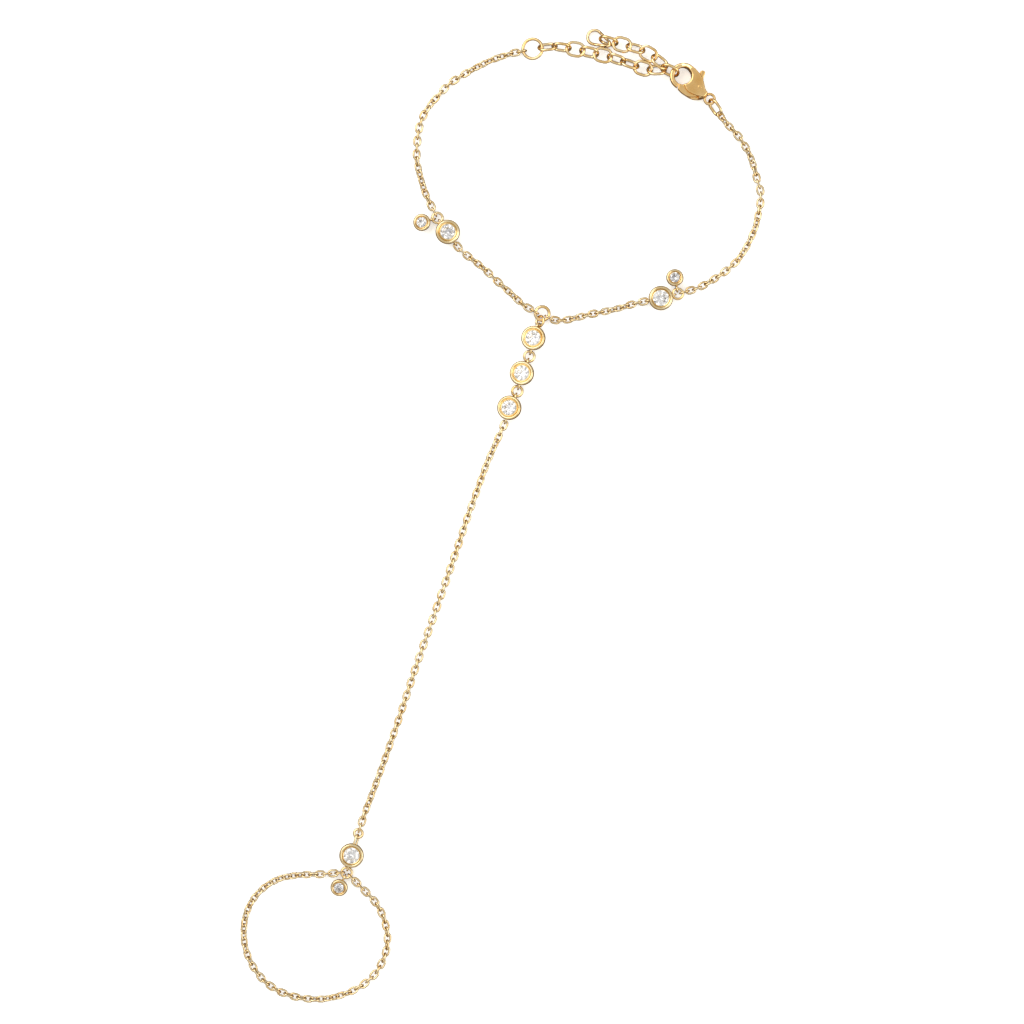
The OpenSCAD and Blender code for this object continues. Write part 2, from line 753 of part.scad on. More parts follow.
module hand_cup(at, way_in, turn_in, way_out, tilt_way) {
    large_bezel(
        at, [[way_in + 180, hand_neck, turn_in], [way_out, hand_neck, upright]], hand_tilt, tilt_way
    );
}

module finger_cup() {
    large_bezel(
        finger_at, [[finger_up_way, finger_neck, finger_turn], [finger_down_way, hand_neck, upright]]
    );
}

// The first ring of the hand stands half turned between the junction ring and its stone
half_turned = 47;
finger_turn = 66;
module first_hand_ring() {
    rest_z = ring_r * sin(half_turned) + ring_d / 2;
    translate(raised(hand_ring_1_at, rest_z))
        rotate([0, 0, hand_ways[0]])
            rotate([half_turned, 0, 0])
                ring(ring_od, ring_d);
}

upper_lean_way = hand_ways[1] - 90;
lower_lean_way = hand_ways[2] - 90;

clasp_body();
clasp_lever();
clasp_pin();
clasp_link();
extender_ring();
extender_run();
hooked_link();
extender_tail();
pear_ring();
wrist_chain_left_upper();
wrist_chain_left_lower();
wrist_chain_right_lower();
wrist_chain_right_upper();
station_cup(left_at, left_ring_way, left_chain_out_way);  // left_bezel
large_stone(left_at);  // left_stone
flat_ring(left_ring_at, ring_od, ring_d);  // left_ring
drop_bezel(left_drop_at, left_ring_at);  // left_drop_bezel
drop_stone(left_drop_at, left_ring_at);  // left_drop_stone
station_cup(right_at, right_ring_way, right_chain_in_way);  // right_bezel
large_stone(right_at);  // right_stone
flat_ring(right_ring_at, ring_od, ring_d);  // right_ring
drop_bezel(right_drop_at, right_ring_at);  // right_drop_bezel
drop_stone(right_drop_at, right_ring_at);  // right_drop_stone
flat_ring(junction_at, junction_od, heavy_d);  // junction_ring
first_hand_ring();  // hand_ring_1
hand_cup(hand_1_at, hand_ways[0], half_turned, hand_ways[1], upper_lean_way);  // hand_bezel_1
large_stone(hand_1_at, hand_tilt, upper_lean_way);  // hand_stone_1
flat_ring(hand_ring_2_at, ring_od, ring_d);  // hand_ring_2
hand_cup(hand_2_at, hand_ways[1], upright, hand_ways[2], upper_lean_way);  // hand_bezel_2
large_stone(hand_2_at, hand_tilt, upper_lean_way);  // hand_stone_2
flat_ring(hand_ring_3_at, ring_od, ring_d);  // hand_ring_3
hand_cup(hand_3_at, hand_ways[2], upright, hand_out_way, lower_lean_way);  // hand_bezel_3
large_stone(hand_3_at, hand_tilt, lower_lean_way);  // hand_stone_3
hand_chain();
flat_ring(finger_top_ring_at, top_ring_od, ring_d);  // finger_top_ring
finger_cup();  // finger_bezel
large_stone(finger_at);  // finger_stone
flat_ring(finger_ring_at, ring_od, ring_d);  // finger_ring
drop_bezel(finger_drop_at, finger_ring_at);  // finger_drop_bezel
drop_stone(finger_drop_at, finger_ring_at);  // finger_drop_stone
finger_chain();
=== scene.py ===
import math

import bpy
import numpy as np
from mathutils import Matrix, Vector


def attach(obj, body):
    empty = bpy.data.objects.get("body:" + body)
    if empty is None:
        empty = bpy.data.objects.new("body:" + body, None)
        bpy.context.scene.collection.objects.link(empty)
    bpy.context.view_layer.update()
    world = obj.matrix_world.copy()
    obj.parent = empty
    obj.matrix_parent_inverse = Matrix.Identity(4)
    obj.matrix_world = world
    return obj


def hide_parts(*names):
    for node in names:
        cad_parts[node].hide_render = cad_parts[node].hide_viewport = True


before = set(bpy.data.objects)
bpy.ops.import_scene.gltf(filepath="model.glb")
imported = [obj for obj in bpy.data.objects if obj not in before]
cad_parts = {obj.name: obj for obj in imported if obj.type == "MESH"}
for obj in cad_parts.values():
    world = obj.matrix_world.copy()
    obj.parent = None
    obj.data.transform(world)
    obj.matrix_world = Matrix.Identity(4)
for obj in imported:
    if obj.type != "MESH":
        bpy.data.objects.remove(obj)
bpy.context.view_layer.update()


# Fine cable chain of the wrist, the hand and the finger: oval links of round gold wire, each bent
# round a former, closed through the last one and soldered. Every link lies where the packed
# chain has it.
MM = 0.001
FINE_LENGTH = 1.9 * MM
FINE_WIDTH = 1.36 * MM
FINE_WIRE = 0.34 * MM
MERGE = 0.002 * MM
LINE_DEPTH = 0.002 * MM
LINE_STRENGTH = 0.5
LINES_TO_A_METRE = 9000
LINE_STRETCH = (1, 0.12, 0.4)
LINE_LEAN = (0.3, 0.2, 0.7)
PALE_FROM, PALE_TO = 0.45, 0.7
DEEP_FROM, DEEP_TO = 0.5, 0.28
TONE_NAMES = ("Warm tone", "Pale tone", "Deep tone")
CHAIN_TONES = ((0.88, 0.68, 0.37), (0.92, 0.76, 0.48), (0.8, 0.55, 0.24))

# Polished yellow gold: a warm body colour, a paler bloom and a deeper tone that wander over the
# metal, with the fine lines and small hollows that a polishing wheel leaves
polish = bpy.data.node_groups.new("gold polish", "ShaderNodeTree")
for name, kind, value in (
    ("Warm tone", "NodeSocketColor", (0.96, 0.64, 0.27, 1)),
    ("Pale tone", "NodeSocketColor", (1, 0.75, 0.4, 1)),
    ("Deep tone", "NodeSocketColor", (0.86, 0.5, 0.16, 1)),
    ("Patch size", "NodeSocketFloat", 900),
    ("Smoothness", "NodeSocketFloat", 0.12),
    ("Wear", "NodeSocketFloat", 0.1),
):
    socket = polish.interface.new_socket(name, in_out="INPUT", socket_type=kind)
    socket.default_value = value
for name, kind in (
    ("Colour", "NodeSocketColor"),
    ("Roughness", "NodeSocketFloat"),
    ("Height", "NodeSocketFloat"),
):
    polish.interface.new_socket(name, in_out="OUTPUT", socket_type=kind)

inputs = polish.nodes.new("NodeGroupInput").outputs
outputs = polish.nodes.new("NodeGroupOutput").inputs
place = polish.nodes.new("ShaderNodeTexCoord").outputs["Object"]

patches = polish.nodes.new("ShaderNodeTexNoise")
patches.inputs["Detail"].default_value = 2
polish.links.new(place, patches.inputs["Vector"])
polish.links.new(inputs["Patch size"], patches.inputs["Scale"])


def laid_over(under, over, start, end):
    """One tone laid over another, where the patches pass from start to end."""
    share = polish.nodes.new("ShaderNodeMapRange")
    share.inputs["From Min"].default_value = start
    share.inputs["From Max"].default_value = end
    polish.links.new(patches.outputs["Fac"], share.inputs["Value"])
    both = polish.nodes.new("ShaderNodeMix")
    both.data_type = "RGBA"
    polish.links.new(share.outputs["Result"], both.inputs["Factor"])
    polish.links.new(under, both.inputs["A"])
    polish.links.new(over, both.inputs["B"])
    return both.outputs["Result"]


with_pale = laid_over(inputs["Warm tone"], inputs["Pale tone"], PALE_FROM, PALE_TO)
with_deep = laid_over(with_pale, inputs["Deep tone"], DEEP_FROM, DEEP_TO)
polish.links.new(with_deep, outputs["Colour"])

stretch = polish.nodes.new("ShaderNodeMapping")
stretch.inputs["Scale"].default_value = LINE_STRETCH
stretch.inputs["Rotation"].default_value = LINE_LEAN
polish.links.new(place, stretch.inputs["Vector"])
wheel_lines = polish.nodes.new("ShaderNodeTexNoise")
wheel_lines.inputs["Scale"].default_value = LINES_TO_A_METRE
wheel_lines.inputs["Detail"].default_value = 3
polish.links.new(stretch.outputs["Vector"], wheel_lines.inputs["Vector"])
polish.links.new(wheel_lines.outputs["Fac"], outputs["Height"])

worn = polish.nodes.new("ShaderNodeMath")
worn.operation = "MULTIPLY_ADD"
polish.links.new(wheel_lines.outputs["Fac"], worn.inputs[0])
polish.links.new(inputs["Wear"], worn.inputs[1])
polish.links.new(inputs["Smoothness"], worn.inputs[2])
polish.links.new(worn.outputs["Value"], outputs["Roughness"])


def polished_gold(name, patch_size, smoothness, wear, line_depth=LINE_DEPTH, tones=()):
    """A gold with the polish above. Its own tones, if any, take the place of the usual ones."""
    metal = bpy.data.materials.new(name)
    metal.use_nodes = True
    nodes, links = metal.node_tree.nodes, metal.node_tree.links
    shader = nodes["Principled BSDF"]
    shader.inputs["Metallic"].default_value = 1
    finish = nodes.new("ShaderNodeGroup")
    finish.node_tree = polish
    finish.inputs["Patch size"].default_value = patch_size
    finish.inputs["Smoothness"].default_value = smoothness
    finish.inputs["Wear"].default_value = wear
    for tone, colour in zip(TONE_NAMES, tones):
        finish.inputs[tone].default_value = (*colour, 1)
    lines = nodes.new("ShaderNodeBump")
    lines.inputs["Strength"].default_value = LINE_STRENGTH
    lines.inputs["Distance"].default_value = line_depth
    links.new(finish.outputs["Colour"], shader.inputs["Base Color"])
    links.new(finish.outputs["Roughness"], shader.inputs["Roughness"])
    links.new(finish.outputs["Height"], lines.inputs["Height"])
    links.new(lines.outputs["Normal"], shader.inputs["Normal"])
    return metal


def clear_selection():
    if bpy.context.object and bpy.context.object.mode == "EDIT":
        bpy.ops.object.mode_set(mode="OBJECT")
    bpy.ops.object.select_all(action="DESELECT")


def pick(piece):
    clear_selection()
    piece.select_set(True)
    bpy.context.view_layer.objects.active = piece


def packed_copy(node, name):
    """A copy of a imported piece, with its loose triangles merged into one skin."""
    piece = bpy.data.objects.new(name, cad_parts[node].data.copy())
    bpy.context.scene.collection.objects.link(piece)
    pick(piece)
    bpy.ops.object.mode_set(mode="EDIT")
    bpy.ops.mesh.select_all(action="SELECT")
    bpy.ops.mesh.remove_doubles(threshold=MERGE)
    bpy.ops.object.mode_set(mode="OBJECT")
    return piece


def joined(parts):
    """The parts as one piece, which keeps the first one's name."""
    pick(parts[0])
    for part in parts:
        part.select_set(True)
    if len(parts) > 1:
        bpy.ops.object.join()
    return parts[0]


def made_of(piece, metal, body, slot, *nodes):
    """The piece gets its metal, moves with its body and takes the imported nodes' place."""
    piece.data.materials.clear()
    piece.data.materials.append(metal)
    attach(piece, body)
    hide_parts(*nodes)


def oval_link(name, length, width, wire, bend_steps, wire_steps):
    """One link: half a ring of round wire, its ends drawn out straight, and its twin."""
    clear_selection()
    bpy.ops.mesh.primitive_torus_add(
        major_radius=(width - wire) / 2, minor_radius=wire / 2,
        major_segments=bend_steps, minor_segments=wire_steps,
    )
    link = bpy.context.object
    link.name = name
    bpy.ops.object.mode_set(mode="EDIT")
    bpy.ops.mesh.select_all(action="SELECT")
    bpy.ops.mesh.bisect(plane_co=(0, 0, 0), plane_no=(1, 0, 0), clear_inner=True)
    bpy.ops.mesh.select_all(action="SELECT")
    bpy.ops.transform.translate(value=((length - width) / 2, 0, 0))
    bpy.ops.mesh.select_all(action="DESELECT")
    bpy.ops.mesh.select_mode(type="EDGE")
    bpy.ops.mesh.select_non_manifold()
    bpy.ops.mesh.extrude_edges_move(
        TRANSFORM_OT_translate={"value": ((width - length) / 2, 0, 0)}
    )
    bpy.ops.mesh.select_mode(type="VERT")
    bpy.ops.mesh.select_all(action="SELECT")
    bpy.ops.mesh.duplicate()
    bpy.ops.transform.rotate(
        value=math.pi, orient_axis="Z", center_override=(0, 0, 0)
    )
    bpy.ops.mesh.select_all(action="SELECT")
    bpy.ops.mesh.remove_doubles(threshold=MERGE)
    bpy.ops.mesh.normals_make_consistent(inside=False)
    bpy.ops.object.mode_set(mode="OBJECT")
    bpy.ops.object.shade_smooth()
    return link


def link_places(node):
    """Where each packed link lies: its middle, and its long, wide and thin ways."""
    packed_copy(node, "packed links")
    bpy.ops.object.mode_set(mode="EDIT")
    bpy.ops.mesh.separate(type="LOOSE")
    bpy.ops.object.mode_set(mode="OBJECT")
    places = []
    for part in list(bpy.context.selected_objects):
        points = np.array([corner.co for corner in part.data.vertices])
        middle = (points.min(axis=0) + points.max(axis=0)) / 2
        ways = np.linalg.eigh(np.cov((points - points.mean(axis=0)).T))[1]
        long_way = Vector(ways[:, 2]).normalized()
        wide_way = Vector(ways[:, 1]).normalized()
        thin_way = long_way.cross(wide_way)
        turn = Matrix((long_way, wide_way, thin_way)).transposed().to_4x4()
        places.append(Matrix.Translation(Vector(middle)) @ turn)
        bpy.data.objects.remove(part)
    return places


def laid_links(name, pattern, node):
    """The chain: one copy of the link at each packed place, joined into one piece."""
    parts = []
    for place in link_places(node):
        mesh = pattern.data.copy()
        mesh.transform(place)
        part = bpy.data.objects.new(name, mesh)
        bpy.context.scene.collection.objects.link(part)
        parts.append(part)
    return joined(parts)


chain_gold = polished_gold(
    "chain gold", patch_size=700, smoothness=0.1, wear=0.12, tones=CHAIN_TONES
)
fine_link = oval_link(
    "fine link", FINE_LENGTH, FINE_WIDTH, FINE_WIRE, bend_steps=12, wire_steps=6
)
for name, node in (
    ("left_upper_chain", "wrist_chain_left_upper"),
    ("left_lower_chain", "wrist_chain_left_lower"),
    ("right_lower_chain", "wrist_chain_right_lower"),
    ("right_upper_chain", "wrist_chain_right_upper"),
    ("chain_down_the_hand", "hand_chain"),
    ("finger_loop_chain", "finger_chain"),
):
    made_of(laid_links(name, fine_link, node), chain_gold, "bracelet", "gold", node)
bpy.data.objects.remove(fine_link)


# Large links of the extender, of its tail, in the hook and on the clasp's eye. They are the same
# soldered ovals in heavier wire, with more steps in the mesh because they show larger.
LARGE_LENGTH = 3.44 * MM
LARGE_WIDTH = 2.7 * MM
LARGE_WIRE = 0.48 * MM
LARGE_TONES = ((0.94, 0.68, 0.33), (0.98, 0.77, 0.45), (0.86, 0.55, 0.2))

large_gold = polished_gold(
    "large link gold", patch_size=450, smoothness=0.08, wear=0.1, tones=LARGE_TONES
)
large_link = oval_link(
    "large link", LARGE_LENGTH, LARGE_WIDTH, LARGE_WIRE, bend_steps=32, wire_steps=16
)
for name, node in (
    ("extender_links", "extender_run"),
    ("tail_links", "extender_tail"),
    ("link_in_the_hook", "hooked_link"),
    ("link_on_the_clasp", "clasp_link"),
):
    made_of(laid_links(name, large_link, node), large_gold, "bracelet", "gold", node)
bpy.data.objects.remove(large_link)


# Jump rings, the junction ring, the extender's round ring and the pear ring of its tail. They are
# round gold wire, bent to shape, closed and soldered, in the gold of the large links.
WIRE_EDGE = math.radians(40)

for node in (
    "left_ring", "right_ring", "hand_ring_1", "hand_ring_2", "hand_ring_3",
    "finger_ring", "finger_top_ring", "junction_ring", "extender_ring", "pear_ring",
):
    wire_ring = packed_copy(node, node + "_wire")
    bpy.ops.object.shade_smooth_by_angle(angle=WIRE_EDGE)
    made_of(wire_ring, large_gold, "bracelet", "gold", node)


# Bezel cups for the large stones and the drops. Each is turned in gold on a lathe, with a round
# rim, a groove and a lip that is burnished over the stone's edge. Eyelets of wire are soldered
# to the wall and hold the rings and the chain.
CUP_STEPS = 56
CUP_EDGE = math.radians(50)
CUP_TONES = ((0.81, 0.62, 0.33), (0.87, 0.71, 0.43), (0.73, 0.51, 0.22))
EYELET_WIDTH = 1.3 * MM
EYELET_WIRE = 0.32 * MM
EYELET_HEIGHT = 0.78 * MM
EYELET_ROOT_SHARE = 0.72
RING_WIRE = 0.42 * MM
HOLD_GAP = 0.1 * MM

# Radii and heights in millimetres, from the open back round the outside and over the rim, and
# then down inside the lip, past the stone's edge and back to the opening
LARGE_CUP = (
    (0.84, 0), (1.08, 0), (1.22, 0.05), (1.6, 0.58), (1.9, 1), (2.01, 1.26), (2.03, 1.5),
    (2.02, 1.7), (1.97, 1.86), (1.88, 1.96), (1.76, 2), (1.65, 1.98), (1.56, 1.91),
)
LARGE_SEAT = ((1.59, 1.53), (1.59, 1.4), (1.2, 1.03), (0.84, 0.7))
SMALL_CUP = (
    (0.56, 0), (0.74, 0), (0.86, 0.04), (1.12, 0.44), (1.34, 0.82), (1.41, 1.04), (1.43, 1.22),
    (1.41, 1.38), (1.35, 1.51), (1.26, 1.58), (1.17, 1.6), (1.09, 1.58), (1.04, 1.52),
)
SMALL_SEAT = ((1.04, 1.25), (1.04, 1.15), (0.8, 0.92), (0.56, 0.7))

# The stone's table above the cup's foot, and the wall's radius at the height of the eyelets
LARGE_TABLE = 1.95 * MM
LARGE_WALL = 1.74 * MM
SMALL_TABLE = 1.55 * MM
SMALL_WALL = 1.32 * MM


def lip(edge, under, width):
    """The burnished lip: a shallow groove, then a round bead that ends over the stone."""
    return (
        (edge + width, under - 0.05), (edge + 0.75 * width, under + 0.06),
        (edge + 0.45 * width, under + 0.12), (edge + 0.18 * width, under + 0.11),
        (edge, under + 0.06), (edge + 0.01, under),
    )


def turned_cup(name, wall):
    """A ring of edges at the back, drawn out and widened or narrowed from step to step."""
    clear_selection()
    bpy.ops.mesh.primitive_circle_add(vertices=CUP_STEPS, radius=wall[0][0] * MM)
    cup = bpy.context.object
    cup.name = name
    bpy.ops.object.mode_set(mode="EDIT")
    bpy.ops.mesh.select_all(action="SELECT")
    for (radius, height), (next_radius, next_height) in zip(wall, wall[1:] + wall[:1]):
        bpy.ops.mesh.extrude_edges_move(
            TRANSFORM_OT_translate={"value": (0, 0, (next_height - height) * MM)}
        )
        growth = next_radius / radius
        bpy.ops.transform.resize(value=(growth, growth, 1), center_override=(0, 0, 0))
    bpy.ops.mesh.select_all(action="SELECT")
    bpy.ops.mesh.remove_doubles(threshold=MERGE)
    bpy.ops.mesh.normals_make_consistent(inside=False)
    bpy.ops.object.mode_set(mode="OBJECT")
    bpy.ops.object.shade_smooth_by_angle(angle=CUP_EDGE)
    return cup


def stone_seat(node):
    """How a packed stone sits: its axis and middle, from its largest flat face, the table."""
    facets = {}
    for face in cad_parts[node].data.polygons:
        key = tuple(round(value, 3) for value in face.normal)
        area, middle = facets.get(key, (0, Vector()))
        facets[key] = (area + face.area, middle + face.center * face.area)
    normal, (area, middle) = max(facets.items(), key=lambda facet: facet[1][0])
    return Vector(normal).normalized(), middle / area


def eyelet(wall_radius, way, neck, turn):
    """A loop of wire that starts in the wall and ends past the ring that it holds."""
    root = EYELET_ROOT_SHARE * wall_radius
    tip = wall_radius + neck + RING_WIRE + 2 * HOLD_GAP + EYELET_WIRE
    loop = oval_link(
        "eyelet", tip - root, EYELET_WIDTH, EYELET_WIRE, bend_steps=12, wire_steps=10
    )
    loop.data.transform(
        Matrix.Rotation(math.radians(way), 4, "Z")
        @ Matrix.Translation(((root + tip) / 2, 0, EYELET_HEIGHT))
        @ Matrix.Rotation(math.radians(turn), 4, "X")
    )
    return loop


def set_bezel(name, node, stone, wall, table_height, wall_radius, eyelets):
    """A cup turned to lean as its stone does, with its eyelets soldered on."""
    axis, table = stone_seat(stone)
    foot = table - axis * table_height
    cup = turned_cup(name, wall)
    cup.data.transform(
        Matrix.Translation(foot) @ axis.to_track_quat("Z", "Y").to_matrix().to_4x4()
    )
    parts = [cup]
    for way, neck, turn in eyelets:
        loop = eyelet(wall_radius, way, neck * MM, turn)
        loop.data.transform(Matrix.Translation((foot.x, foot.y, 0)))
        parts.append(loop)
    made_of(joined(parts), bezel_gold, "bracelet", "gold", node)


bezel_gold = polished_gold(
    "bezel gold", patch_size=380, smoothness=0.1, wear=0.1, tones=CUP_TONES
)
narrow_cup = LARGE_CUP + lip(edge=1.22, under=1.82, width=0.25) + LARGE_SEAT
wide_cup = LARGE_CUP + lip(edge=1.3, under=1.75, width=0.2) + LARGE_SEAT
small_cup = SMALL_CUP + lip(edge=0.84, under=1.43, width=0.17) + SMALL_SEAT

# Each eyelet has the way that it points in degrees, its neck in millimetres and its turn in
# degrees, where 90 stands it on edge
for place, number, wall, eyelets in (
    ("left", "", narrow_cup, ((126, 0.06, 90), (-56, 0.06, 90))),
    ("right", "", wide_cup, ((15, 0.06, 90), (190, 0.06, 90))),
    ("hand", "_1", narrow_cup, ((74, 0.17, 47), (-108, 0.17, 90))),
    ("hand", "_2", narrow_cup, ((72, 0.17, 90), (-110, 0.17, 90))),
    ("hand", "_3", narrow_cup, ((70, 0.17, 90), (-113, 0.17, 90))),
    ("finger", "", wide_cup, ((73, 1, 66), (-106, 0.17, 90))),
):
    set_bezel(
        place + "_cup" + number, place + "_bezel" + number, place + "_stone" + number,
        wall, LARGE_TABLE, LARGE_WALL, eyelets,
    )
for name, way in (("left_drop", 17), ("right_drop", 281), ("finger_drop", 63)):
    set_bezel(
        name + "_cup", name + "_bezel", name + "_stone",
        small_cup, SMALL_TABLE, SMALL_WALL, ((way, 0.06, 90),),
    )


# Round brilliant stones of clear zirconia, cut and polished, and held by the lips of the cups.
# Each facet stays flat, so the imported stones are kept and only get their glass.
# The glass has painted reflections, white, grey and dark specks, and a faint painted glow.
STONE_IOR = 2.2
# A faint painted glow: the stones glow though they are no lamp
STONE_PAINTED_GLOW = 0.03
MIRRORS_TO_A_METRE = 3000
MIRROR_STRENGTH = 0.3
MIRROR_DEPTH = 0.05 * MM
# Painted reflections: a white glint, a grey and a dark reflection, one per cell
PAINTED_WHITE_GLINT = (1, 0.985, 0.95, 1)
PAINTED_GREY_REFLECTION = (0.82, 0.81, 0.81, 1)
PAINTED_DARK_REFLECTION = (0.2, 0.19, 0.21, 1)


def cut_stone(name, painted_dark_share, painted_grey_share):
    """Clear glass with painted reflections: cell by cell its colour and faint glow are white, grey
    or dark, painted glints that stand for small inner mirrors.
    """
    glass = bpy.data.materials.new(name)
    glass.use_nodes = True
    nodes, links = glass.node_tree.nodes, glass.node_tree.links
    shader = nodes["Principled BSDF"]
    shader.inputs["Roughness"].default_value = 0
    shader.inputs["IOR"].default_value = STONE_IOR
    shader.inputs["Transmission Weight"].default_value = 1
    shader.inputs["Emission Strength"].default_value = STONE_PAINTED_GLOW
    place = nodes.new("ShaderNodeTexCoord")
    mirrors = nodes.new("ShaderNodeTexVoronoi")
    mirrors.inputs["Scale"].default_value = MIRRORS_TO_A_METRE
    one_mirror = nodes.new("ShaderNodeSeparateColor")
    # Painted reflections: each cell is white, grey or dark
    painted_glints = nodes.new("ShaderNodeValToRGB")
    dark, white = painted_glints.color_ramp.elements
    dark.position, dark.color = painted_dark_share, PAINTED_DARK_REFLECTION
    white.position, white.color = 2 * painted_grey_share, PAINTED_WHITE_GLINT
    grey = painted_glints.color_ramp.elements.new(painted_grey_share)
    grey.color = PAINTED_GREY_REFLECTION
    tilt = nodes.new("ShaderNodeBump")
    tilt.inputs["Strength"].default_value = MIRROR_STRENGTH
    tilt.inputs["Distance"].default_value = MIRROR_DEPTH
    links.new(place.outputs["Object"], mirrors.inputs["Vector"])
    links.new(mirrors.outputs["Color"], one_mirror.inputs["Color"])
    links.new(one_mirror.outputs["Red"], painted_glints.inputs["Fac"])
    # The painted reflections colour the glass and its faint painted glow
    links.new(painted_glints.outputs["Color"], shader.inputs["Base Color"])
    links.new(painted_glints.outputs["Color"], shader.inputs["Emission Color"])
    links.new(mirrors.outputs["Distance"], tilt.inputs["Height"])
    links.new(tilt.outputs["Normal"], shader.inputs["Normal"])
    return glass


large_glass = cut_stone("clear stone", painted_dark_share=0.05, painted_grey_share=0.2)
small_glass = cut_stone("clear drop stone", painted_dark_share=0.18, painted_grey_share=0.36)
for name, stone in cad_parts.items():
    if "stone" in name:
        stone.data.materials.clear()
        stone.data.materials.append(small_glass if "drop" in name else large_glass)


# Lobster clasp. The body is cast in gold in one piece: a hook that runs into two cheeks, and an
# eye, with its skin tumbled smooth. The lever is a second casting that turns between the cheeks
# on a rivet. Sizes are in millimetres, along and across the clasp from the middle of its hole.
CLASP_AT = (0.0301, 0.0731, 0)
CLASP_WAY = math.radians(-40.7)
CLASP_PLACE = Matrix.Translation(CLASP_AT) @ Matrix.Rotation(CLASP_WAY, 4, "Z")
CLASP_MIDDLE = 1.2
CORNER_SHARE = 0.3


def pick_faces(piece, wanted):
    """Edit mode on the piece, with only the faces selected that the test wants."""
    pick(piece)
    bpy.ops.object.mode_set(mode="EDIT")
    bpy.ops.mesh.select_mode(type="FACE")
    bpy.ops.mesh.select_all(action="DESELECT")
    bpy.ops.object.mode_set(mode="OBJECT")
    for face in piece.data.polygons:
        face.select = wanted(face)
    bpy.ops.object.mode_set(mode="EDIT")


def sawn_plate(name, low, high, rounding, outline):
    """A plate sawn to an outline, with its edges rounded over."""
    clear_selection()
    bpy.ops.mesh.primitive_circle_add(vertices=len(outline), radius=MM, fill_type="NGON")
    plate = bpy.context.object
    plate.name = name
    for corner, (x, y) in zip(plate.data.vertices, outline):
        corner.co = (x * MM, y * MM, low * MM)
    bpy.ops.object.mode_set(mode="EDIT")
    bpy.ops.mesh.select_mode(type="FACE")
    bpy.ops.mesh.select_all(action="SELECT")
    bpy.ops.mesh.extrude_region_move(
        TRANSFORM_OT_translate={"value": (0, 0, (high - low) * MM)}
    )
    bpy.ops.mesh.select_all(action="SELECT")
    bpy.ops.mesh.normals_make_consistent(inside=False)
    bpy.ops.mesh.bevel(offset=rounding * MM, segments=2, affect="EDGES")
    bpy.ops.object.mode_set(mode="OBJECT")
    return plate


def bent_bar(name, centre_x, radius, width, height, start, end, steps):
    """A bar with rounded corners, bent round a centre on the clasp's long line."""
    clear_selection()
    bpy.ops.mesh.primitive_plane_add(size=1)
    piece = bpy.context.object
    piece.name = name
    bpy.ops.object.mode_set(mode="EDIT")
    bpy.ops.mesh.select_all(action="SELECT")
    bpy.ops.transform.resize(value=(width * MM, height * MM, 1))
    bpy.ops.mesh.bevel(
        offset=CORNER_SHARE * min(width, height) * MM, segments=4, affect="VERTICES"
    )
    bpy.ops.object.mode_set(mode="OBJECT")
    upright = Matrix.Rotation(math.pi / 2, 4, "X")
    out = Matrix.Translation((radius * MM, 0, CLASP_MIDDLE * MM))
    piece.data.transform(Matrix.Rotation(math.radians(start), 4, "Z") @ (out @ upright))
    bpy.ops.object.mode_set(mode="EDIT")
    bpy.ops.mesh.select_all(action="SELECT")
    bpy.ops.mesh.spin(
        steps=steps, angle=math.radians(end - start), center=(0, 0, CLASP_MIDDLE * MM),
        axis=(0, 0, -1),
    )
    bpy.ops.mesh.select_all(action="SELECT")
    bpy.ops.mesh.remove_doubles(threshold=MERGE)
    bpy.ops.mesh.normals_make_consistent(inside=False)
    bpy.ops.object.mode_set(mode="OBJECT")
    piece.data.transform(Matrix.Translation((centre_x * MM, 0, 0)))
    return piece


def cast_in_one(name, parts, grain, rounds):
    """The parts melt into one skin, which is tumbled until its edges are soft."""
    casting = joined(parts)
    casting.name = name
    skin = casting.modifiers.new("one skin", "REMESH")
    skin.mode = "VOXEL"
    skin.voxel_size = grain * MM
    bpy.ops.object.modifier_apply(modifier=skin.name)
    tumble = casting.modifiers.new("tumbled", "SMOOTH")
    tumble.factor = 0.5
    tumble.iterations = rounds
    bpy.ops.object.modifier_apply(modifier=tumble.name)
    bpy.ops.object.shade_smooth()
    casting.data.transform(CLASP_PLACE)
    return casting


# The hook is a flat bar round the hole. It grows as thick as the cheeks over the angles where it
# meets them, and a little towards its tip, which is cut off at a slant for the lever.
HOOK_THIN_FROM = 140
HOOK_CHEEK_RUN = 50
HOOK_CHEEK_GROWTH = 1.45
HOOK_TIP_FROM = 190
HOOK_TIP_RUN = 60
HOOK_TIP_GROWTH = 0.24
HOOK_TIP_SIDE = -1 * MM
HOOK_CUT_AT = (0.31 * MM, -1.77 * MM, 0)
HOOK_CUT_WAY = (0.82, 0.57, 0)

hook = bent_bar(
    "hook", centre_x=0, radius=1.81, width=0.82, height=0.95, start=50, end=287, steps=64
)
for corner in hook.data.vertices:
    angle = math.degrees(math.atan2(corner.co.y, corner.co.x)) % 360
    to_cheeks = min(max((HOOK_THIN_FROM - angle) / HOOK_CHEEK_RUN, 0), 1)
    to_tip = min(max((angle - HOOK_TIP_FROM) / HOOK_TIP_RUN, 0), 1)
    thicker = (
        1 + HOOK_CHEEK_GROWTH * to_cheeks ** 2 * (3 - 2 * to_cheeks) + HOOK_TIP_GROWTH * to_tip
    )
    corner.co.z = (corner.co.z / MM - CLASP_MIDDLE) * thicker * MM + CLASP_MIDDLE * MM
pick_faces(
    hook, lambda face: face.center.x > HOOK_TIP_SIDE and face.center.y < HOOK_TIP_SIDE
)
bpy.ops.mesh.bisect(
    plane_co=HOOK_CUT_AT, plane_no=HOOK_CUT_WAY, use_fill=True, clear_outer=True
)
bpy.ops.object.mode_set(mode="OBJECT")

